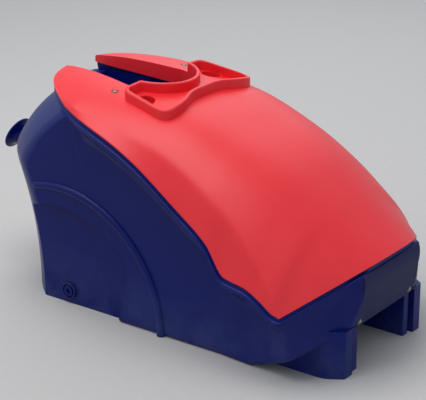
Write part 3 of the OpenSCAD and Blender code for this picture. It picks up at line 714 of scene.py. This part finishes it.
# Apron, plugs, screws
def makeApron():
    a = apronSizes
    half, rear = a["half"], nosePoints(a["wall"], a["low"], a["high"])
    front = []
    for z in spread(a["low"], a["high"], 90):
        up, down = z - a["low"], a["high"] - z
        roll = a["roll"] * math.exp(-((up - 0.004) / 0.0035) ** 2) + 0.6 * a["roll"] * math.exp(-((up - 0.015) / 0.003) ** 2)
        tuck = a["topRound"] * (1 - math.sqrt(max(0, 1 - max(0, 1 - down / 0.012) ** 2)))
        front.append((noseX - bodyL * curve(noseLine, z / bodyH) + roll - tuck, z))
    ys = [-half, -half + a["edge"]] + spread(-half + 0.01, half - 0.01, 24) + [half - a["edge"], half]
    rings = []
    for i, y in enumerate(ys):
        back = a["edge"] if i in (0, len(ys) - 1) else 0.0
        rings.append([(x - back, y, z) for x, z in front] + [(x, y, z) for x, z in rear[::-1]])
    apron = loft("front_apron_skin", rings)
    cuts = []
    for side in (-1, 1):
        place = placeAt(apronScrewX, side * apronScrewY, apronScrewZ, apronAxis)
        cuts += [rod("hole", 0.0033, -0.03, 0.03, place, 32), rod("spot", 0.0087, -0.001, 0.02, place, 48)]
    joinShapes(apron, cuts, "DIFFERENCE")
    softened(apron, 0.0008, 50)
    return smoothed(apron, 35)


def makeFillerPlug():
    f = fillerSizes
    base, rimZ, r = f["flange"] + f["seal"], f["knobL"] - 0.007, f["knobR"]
    profile = [(0, base - f["threadL"] - 0.002), (f["shankR"] - 0.002, base - f["threadL"] - 0.002)]
    turns = int(f["threadL"] / 0.003)
    for k in range(turns):
        z = base - f["threadL"] + 0.003 * k
        profile += [(f["shankR"] - 0.0012, z), (f["shankR"], z + 0.0012), (f["shankR"], z + 0.0018),
                    (f["shankR"] - 0.0012, z + 0.0029)]
    neck = [(f["shankR"], base), (f["shankR"] + 0.008, base), (f["shankR"] + 0.008, base + 0.003),
            (f["shankR"] + 0.006, base + 0.005), (0.45 * r, base + 0.012), (0.42 * r, base + 0.020),
            (0.46 * r, base + 0.028), (0.62 * r, rimZ - 0.007), (r - 0.003, rimZ - 0.0025),
            (r - 0.0008, rimZ - 0.0015), (r, rimZ + 0.0005), (r - 0.0008, rimZ + 0.0022),
            (r - 0.004, rimZ + 0.0034), (r - 0.007, rimZ + 0.0026), (r - 0.010, rimZ + 0.0032),
            (0.5 * r, rimZ + 0.0060), (0.2 * r, f["knobL"] - 0.0001), (0, f["knobL"])]
    radii = [0, 0.001, 0.001, 0.002, 0.006, 0.006, 0.006, 0.01, 0.002, 0.001, 0.001, 0.001, 0.001, 0.001,
             0.001, 0.006, 0, 0]
    profile += rounded(neck, radii, 4)
    knob = turned("knob", profile, fillerPlace(0), 128)
    return smoothed(knob, 35)


def makeDrainPlug():
    d = drainSizes
    profile = [(0, -d["threadL"]), (d["shankR"] - 0.001, -d["threadL"]),
               (d["shankR"], -d["threadL"] + 0.001), (d["shankR"], 0)]
    profile += rounded([(d["shankR"], 0), (d["shankR"] + 0.0045, 0), (d["shankR"] + 0.0045, d["head"]),
                        (0, d["head"])],
                       [0, 0.0006, 0.0012, 0], 4)[1:]
    plug = turned("drainPlug", profile, drainPlace(d["seal"]), 72)
    hex6 = rod("hex", 0.75 * d["shankR"], 0.001, 0.02, drainPlace(d["seal"]), 6)
    joinShapes(plug, [hex6], "DIFFERENCE")
    return smoothed(plug, 35)


screwSizes = dict(shank=0.003, head=0.00525, headH=0.0036, length=0.018, washer=0.0012, slotW=0.0011)


def screwTree():
    tree = bpy.data.node_groups.new("pan screws", "GeometryNodeTree")
    face = tree.interface
    ids = {}
    face.new_socket("Geometry", in_out="INPUT", socket_type="NodeSocketGeometry")
    for label, value in (("Shank Radius", screwSizes["shank"]), ("Shank Length", screwSizes["length"]),
                         ("Head Radius", screwSizes["head"]), ("Head Height", screwSizes["headH"]),
                         ("Slot Width", screwSizes["slotW"])):
        socket = face.new_socket(label, in_out="INPUT", socket_type="NodeSocketFloat")
        socket.default_value = value
        ids[label] = socket.identifier
    paint = face.new_socket("Finish", in_out="INPUT", socket_type="NodeSocketMaterial")
    ids["Finish"] = paint.identifier
    face.new_socket("Geometry", in_out="OUTPUT", socket_type="NodeSocketGeometry")
    nodes, links = tree.nodes, tree.links
    start, end = nodes.new("NodeGroupInput"), nodes.new("NodeGroupOutput")

    def make(kind, settings=None, **values):
        node = nodes.new(kind)
        for key, value in (settings or {}).items():
            setattr(node, key, value)
        for key, value in values.items():
            socket = node.inputs[key.replace("_", " ")]
            if isinstance(value, bpy.types.NodeSocket):
                links.new(value, socket)
            else:
                socket.default_value = value
        return node

    def math2(op, a, b):
        node = nodes.new("ShaderNodeMath")
        node.operation = op
        for socket, value in zip(node.inputs, (a, b)):
            if isinstance(value, bpy.types.NodeSocket):
                links.new(value, socket)
            else:
                socket.default_value = value
        return node.outputs[0]

    def lifted(geometry, z, turn=None):
        comb = make("ShaderNodeCombineXYZ", Z=z)
        node = make("GeometryNodeTransform", Geometry=geometry, Translation=comb.outputs[0])
        if turn:
            node.inputs["Rotation"].default_value = turn
        return node.outputs[0]

    shank = make("GeometryNodeMeshCylinder", Vertices=24, Radius=start.outputs["Shank Radius"],
                 Depth=start.outputs["Shank Length"])
    shankUp = lifted(shank.outputs["Mesh"], math2("MULTIPLY", start.outputs["Shank Length"], -0.5))
    head = make("GeometryNodeMeshUVSphere", Segments=32, Rings=20, Radius=1.0)
    size = make("ShaderNodeCombineXYZ", X=start.outputs["Head Radius"], Y=start.outputs["Head Radius"],
                Z=start.outputs["Head Height"])
    dome = make("GeometryNodeTransform", Geometry=head.outputs["Mesh"], Scale=size.outputs[0])
    below = make("GeometryNodeMeshCube", Size=(0.03, 0.03, 0.02))
    belowDown = lifted(below.outputs["Mesh"], -0.01)
    half = make("GeometryNodeMeshBoolean", {"operation": "DIFFERENCE"})
    links.new(dome.outputs[0], half.inputs[0])
    links.new(belowDown, half.inputs[1])
    depth = math2("MULTIPLY", start.outputs["Head Height"], 0.55)
    bar = make("ShaderNodeCombineXYZ", X=math2("MULTIPLY", start.outputs["Head Radius"], 1.15),
               Y=start.outputs["Slot Width"],
               Z=start.outputs["Head Height"])
    slot = make("GeometryNodeMeshCube", Size=bar.outputs[0])
    slotUp = lifted(slot.outputs["Mesh"], math2("ADD", start.outputs["Head Height"],
                                                math2("MULTIPLY", depth, 0.4)))
    slotTurned = make("GeometryNodeTransform", Geometry=slotUp)
    slotTurned.inputs["Rotation"].default_value = (0, 0, math.pi / 2)
    both = make("GeometryNodeMeshBoolean", {"operation": "DIFFERENCE"})
    links.new(half.outputs[0], both.inputs[0])
    links.new(slotUp, both.inputs[1])
    links.new(slotTurned.outputs[0], both.inputs[1])
    join = nodes.new("GeometryNodeJoinGeometry")
    links.new(shankUp, join.inputs[0])
    links.new(both.outputs[0], join.inputs[0])
    axis = make("GeometryNodeInputNamedAttribute", {"data_type": "FLOAT_VECTOR"}, Name="screwAxis")
    align = make("FunctionNodeAlignRotationToVector", {"axis": "Z"}, Vector=axis.outputs["Attribute"])
    place = make("GeometryNodeInstanceOnPoints", Points=start.outputs["Geometry"], Instance=join.outputs[0],
                 Rotation=align.outputs[0])
    real = make("GeometryNodeRealizeInstances", Geometry=place.outputs[0])
    coat = make("GeometryNodeSetMaterial", Geometry=real.outputs[0], Material=start.outputs["Finish"])
    links.new(coat.outputs[0], end.inputs["Geometry"])
    return tree, ids


def makeScrews(name, tree, ids, spots, finish):
    mesh = bpy.data.meshes.new(name)
    mesh.from_pydata([tuple(p) for p, _ in spots], [], [])
    attr = mesh.attributes.new("screwAxis", "FLOAT_VECTOR", "POINT")
    for i, (_, axis) in enumerate(spots):
        attr.data[i].vector = axis
    obj = newObject(name, mesh)
    mod = obj.modifiers.new("screws", "NODES")
    mod.node_group = tree
    mod[ids["Finish"]] = finish
    applied(obj)
    return smoothed(obj, 35)


# Finishes
class Wire:
    def __init__(self, shader, socket):
        self.shader, self.socket = shader, socket

    def _math(self, op, other, swap=False):
        a, b = (other, self) if swap else (self, other)
        return self.shader.node("ShaderNodeMath", {"operation": op}, [a, b])

    def __add__(self, other):
        return self._math("ADD", other)

    def __sub__(self, other):
        return self._math("SUBTRACT", other)

    def __rsub__(self, other):
        return self._math("SUBTRACT", other, True)

    def __mul__(self, other):
        return self._math("MULTIPLY", other)

    __radd__, __rmul__ = __add__, __mul__


class Shader:
    def __init__(self, name, **fixed):
        self.material = bpy.data.materials.new(name)
        self.material.use_nodes = True
        self.tree = self.material.node_tree
        self.tree.nodes.clear()
        self.out = self.tree.nodes.new("ShaderNodeOutputMaterial")
        self.surface = self.tree.nodes.new("ShaderNodeBsdfPrincipled")
        self.tree.links.new(self.surface.outputs[0], self.out.inputs[0])
        for key, value in fixed.items():
            self.surface.inputs[key].default_value = value
        self.coords = self.tree.nodes.new("ShaderNodeTexCoord").outputs["Object"]

    def put(self, socket, value):
        if isinstance(value, Wire):
            self.tree.links.new(value.socket, socket)
        elif isinstance(value, bpy.types.NodeSocket):
            self.tree.links.new(value, socket)
        else:
            socket.default_value = value

    def node(self, kind, settings=None, values=None, output=0):
        node = self.tree.nodes.new(kind)
        for key, value in (settings or {}).items():
            setattr(node, key, value)
        pairs = values.items() if isinstance(values, dict) else enumerate(values or [])
        for key, value in pairs:
            self.put(node.inputs[key], value)
        return Wire(self, node.outputs[output])

    def noise(self, scale, detail=3, rough=0.55, stretch=None, shift=(0, 0, 0)):
        where = self.coords
        if stretch:
            where = self.node("ShaderNodeMapping", None,
                              {"Vector": self.coords, "Scale": stretch, "Location": shift}).socket
        return self.node("ShaderNodeTexNoise", None,
                         {"Vector": where, "Scale": scale, "Detail": detail, "Roughness": rough})

    def ramp(self, value, low, high):
        return self.node("ShaderNodeMapRange", {"interpolation_type": "SMOOTHSTEP"},
                         {"Value": value, "From Min": low, "From Max": high})

    def blend(self, mask, first, second):
        node = self.tree.nodes.new("ShaderNodeMix")
        node.data_type = "RGBA"
        self.put(node.inputs[0], mask)
        self.put(node.inputs[6], first)
        self.put(node.inputs[7], second)
        return Wire(self, node.outputs[2])

    def height(self, axis):
        split = self.tree.nodes.new("ShaderNodeSeparateXYZ")
        self.tree.links.new(self.coords, split.inputs[0])
        return Wire(self, split.outputs[axis])

    def finish(self, colour, rough, bump=None, distance=0.001):
        self.put(self.surface.inputs["Base Color"], colour)
        self.put(self.surface.inputs["Roughness"], rough)
        if bump is not None:
            normal = self.node("ShaderNodeBump", None,
                               {"Strength": 1.0, "Distance": distance, "Height": bump})
            self.put(self.surface.inputs["Normal"], normal)
        return self.material


def mouldedPlastic(name, colour, faded, dusty, rough=0.42, dustTop=0.16, peel=0.5, wave=1.0, scuff=0.5,
                   lowZ=0.0,
                   shine=0.2):
    s = Shader(name, **{"Specular IOR Level": shine})
    cloud = s.ramp(s.noise(3.1, 4), 0.35, 0.7)
    fine = s.noise(38, 5, 0.6)
    scratchA = s.ramp(s.noise(26, 6, 0.75, (1, 9, 1.4)), 0.63, 0.72)
    scratchB = s.ramp(s.noise(30, 6, 0.75, (8, 1, 1.2), (3, 1, 2)), 0.64, 0.73)
    rub = s.ramp(s.noise(7, 5, 0.65), 0.52, 0.72)
    scratches = (scratchA + scratchB) * rub * scuff
    dust = (1 - s.ramp(s.height(2), lowZ, lowZ + dustTop)) * s.ramp(s.noise(11, 6, 0.6), 0.3, 0.75)
    tint = s.blend(cloud * 0.5, colour, faded)
    tint = s.blend(s.ramp(fine, 0.35, 0.75) * 0.12, tint, faded)
    tint = s.blend(scratches * 0.55, tint, dusty)
    tint = s.blend(dust * 0.35, tint, dusty)
    roughness = s.node("ShaderNodeMath", {"operation": "ADD", "use_clamp": True},
                       [cloud * 0.06 + scratches * 0.25 + dust * 0.2 + fine * 0.08, rough - 0.04])
    skin = s.noise(620, 2, 0.5) * (0.05 * peel) + s.noise(9, 2, 0.4) * (0.9 * wave) - scratches * 0.05
    return s.finish(tint, roughness, skin, 0.0016)


def plainMetal(name, colour, rough, brushed=0.2):
    s = Shader(name, Metallic=1.0)
    grain = s.noise(900, 3, 0.6)
    tint = s.blend(s.ramp(s.noise(120, 4), 0.4, 0.7) * 0.4, colour, tuple(c * 0.6 for c in colour[:3]) + (1,))
    return s.finish(tint, grain * brushed + rough, grain, 0.00008)


def softRubber(name):
    s = Shader(name)
    grain = s.noise(500, 3)
    tint = s.blend(s.ramp(s.noise(40, 4), 0.4, 0.7) * 0.4, (0.016, 0.016, 0.017, 1), (0.05, 0.05, 0.05, 1))
    return s.finish(tint, grain * 0.1 + 0.62, grain, 0.0001)


palette = dict(
    red=(0.78, 0.013, 0.020, 1), redFaded=(0.82, 0.026, 0.034, 1), redDusty=(0.74, 0.22, 0.22, 1),
    blue=(0.0008, 0.0048, 0.100, 1), blueFaded=(0.0022, 0.0095, 0.140, 1), blueDusty=(0.07, 0.09, 0.20, 1),
    apron=(0.005, 0.009, 0.062, 1), apronFaded=(0.012, 0.017, 0.085, 1), apronDusty=(0.14, 0.15, 0.20, 1),
)
redPlastic = mouldedPlastic("hood red", palette["red"], palette["redFaded"], palette["redDusty"], 0.42,
                            0.05, 0.5, 1.0, 0.35, 0.1, 0.5)
bluePlastic = mouldedPlastic("tank blue", palette["blue"], palette["blueFaded"], palette["blueDusty"], 0.34)
apronPlastic = mouldedPlastic("apron blue", palette["apron"], palette["apronFaded"], palette["apronDusty"],
                              0.5, 0.05, 0.5, 0.6, 0.5, 0.1)
knobPlastic = mouldedPlastic("knob blue", palette["blue"], palette["blueFaded"], palette["blueDusty"], 0.30,
                             0.01, 0.3, 0.2, 0.3)
neckPlastic = mouldedPlastic("neck blue", palette["blue"], palette["blueFaded"], palette["blueDusty"], 0.42,
                             0.01, 0.3, 0.2, 0.2)
bushPlastic = mouldedPlastic("bush plastic", (0.05, 0.06, 0.12, 1), (0.08, 0.09, 0.16, 1),
                             palette["blueDusty"], 0.45, 0.06, 0.3, 0.2, 0.2)
zincSteel = plainMetal("zinc steel", (0.34, 0.32, 0.27, 1), 0.42)
brass = plainMetal("insert brass", (0.62, 0.42, 0.15, 1), 0.32)
rubber = softRubber("seal rubber")
print("finishes ready")


# Pieces
def addPiece(obj, name, bodyName, slotName, finish, *nodes):
    obj.name = name
    obj.data.materials.clear()
    obj.data.materials.append(finish)
    for polygon in obj.data.polygons:
        polygon.material_index = 0
    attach(obj, bodyName)
    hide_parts(*nodes)
    print(name, "made:", len(obj.data.polygons), "faces")
    return obj


addPiece(makeHood(), "hood_skin", "barrier", "hood_red", redPlastic, "hood")
addPiece(makeTank(), "tank_skin", "barrier", "tank_blue", bluePlastic, "tank")
addPiece(makeApron(), "apron_skin", "barrier", "apron_blue", apronPlastic, "front_apron")
addPiece(makeFillerPlug(), "filler_knob", "filler_plug", "knob_blue", knobPlastic, "filler_plug")
addPiece(makeDrainPlug(), "drain_screw", "drain_plug", "plug_blue", knobPlastic, "drain_plug")

tree, ids = screwTree()
hoodSpots = [(Vector((screwX - middleX, side * screwY, screwZ - 0.0018 + screwSizes["washer"])),
              (0, 0, 1)) for side in (-1, 1)]
apronSpots = [(placeAt(apronScrewX, side * apronScrewY, apronScrewZ,
                       apronAxis) @ Vector((0, 0, -0.001 + screwSizes["washer"])), apronAxis)
              for side in (-1, 1)]
addPiece(makeScrews("hood screws", tree, ids, hoodSpots, zincSteel), "hood_screws", "barrier",
         "screw_steel", zincSteel,
         "hood_screw_left", "hood_screw_right")
addPiece(makeScrews("apron screws", tree, ids, apronSpots, zincSteel), "apron_screws", "barrier",
         "screw_steel", zincSteel,
         "apron_screw_left", "apron_screw_right")

keptFinish = {"filler_neck": neckPlastic, "filler_seal": rubber, "drain_bush": bushPlastic,
              "drain_seal": rubber}
for name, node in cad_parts.items():
    finish = keptFinish.get(name) or (brass if "insert" in name else zincSteel if "washer" in name else None)
    if finish:
        node.data.materials.clear()
        node.data.materials.append(finish)

# Floor, light, camera
studio = dict(floor=(0.50, 0.47, 0.445, 1), world=0.64, key=66, fill=8, rear=16, lens=141.7,
              eye=(2.026, -2.837, 1.600), look=(-0.550, 0.754, -0.359))


def makeStage():
    bm = bmesh.new()
    bmesh.ops.create_grid(bm, x_segments=1, y_segments=1, size=6)
    floor = fromBmesh("floor", bm, False)
    s = Shader("studio floor")
    speck = s.noise(60, 4)
    floor.data.materials.append(s.finish(s.blend(speck * 0.2, studio["floor"], (0.72, 0.72, 0.72, 1)),
                                         speck * 0.1 + 0.75, speck, 0.0003))
    world = bpy.data.worlds.new("studio")
    bpy.context.scene.world = world
    world.use_nodes = True
    world.node_tree.nodes["Background"].inputs[0].default_value = (0.80, 0.89, 1.0, 1)
    world.node_tree.nodes["Background"].inputs[1].default_value = studio["world"]
    for name, power, size, spot, aim in (("key", studio["key"], 2.6, (-0.5, -0.6, 3.2), (0, 0, 0.3)),
                                         ("fill", studio["fill"], 2.5, (-2.6, -1.8, 1.6), (0, 0, 0.3)),
                                         ("rear", studio["rear"], 2.0, (-1.0, 2.4, 2.2), (0, 0, 0.3))):
        light = bpy.data.lights.new(name, "AREA")
        light.energy, light.shape, light.size = power, "SQUARE", size
        lamp = bpy.data.objects.new(name, light)
        bpy.context.scene.collection.objects.link(lamp)
        lamp.location = spot
        lamp.rotation_euler = (Vector(aim) - Vector(spot)).to_track_quat("-Z", "Y").to_euler()


def makeCamera():
    lens = bpy.data.cameras.new("camera")
    lens.lens, lens.sensor_width, lens.clip_end = studio["lens"], 36, 50
    cam = bpy.data.objects.new("camera", lens)
    bpy.context.scene.collection.objects.link(cam)
    eye = Vector(studio["eye"])
    cam.location = (eye.x - middleX, eye.y, eye.z)
    cam.rotation_euler = Vector(studio["look"]).to_track_quat("-Z", "Y").to_euler()
    bpy.context.scene.camera = cam


makeStage()
makeCamera()
bpy.context.scene.view_settings.view_transform = "Standard"
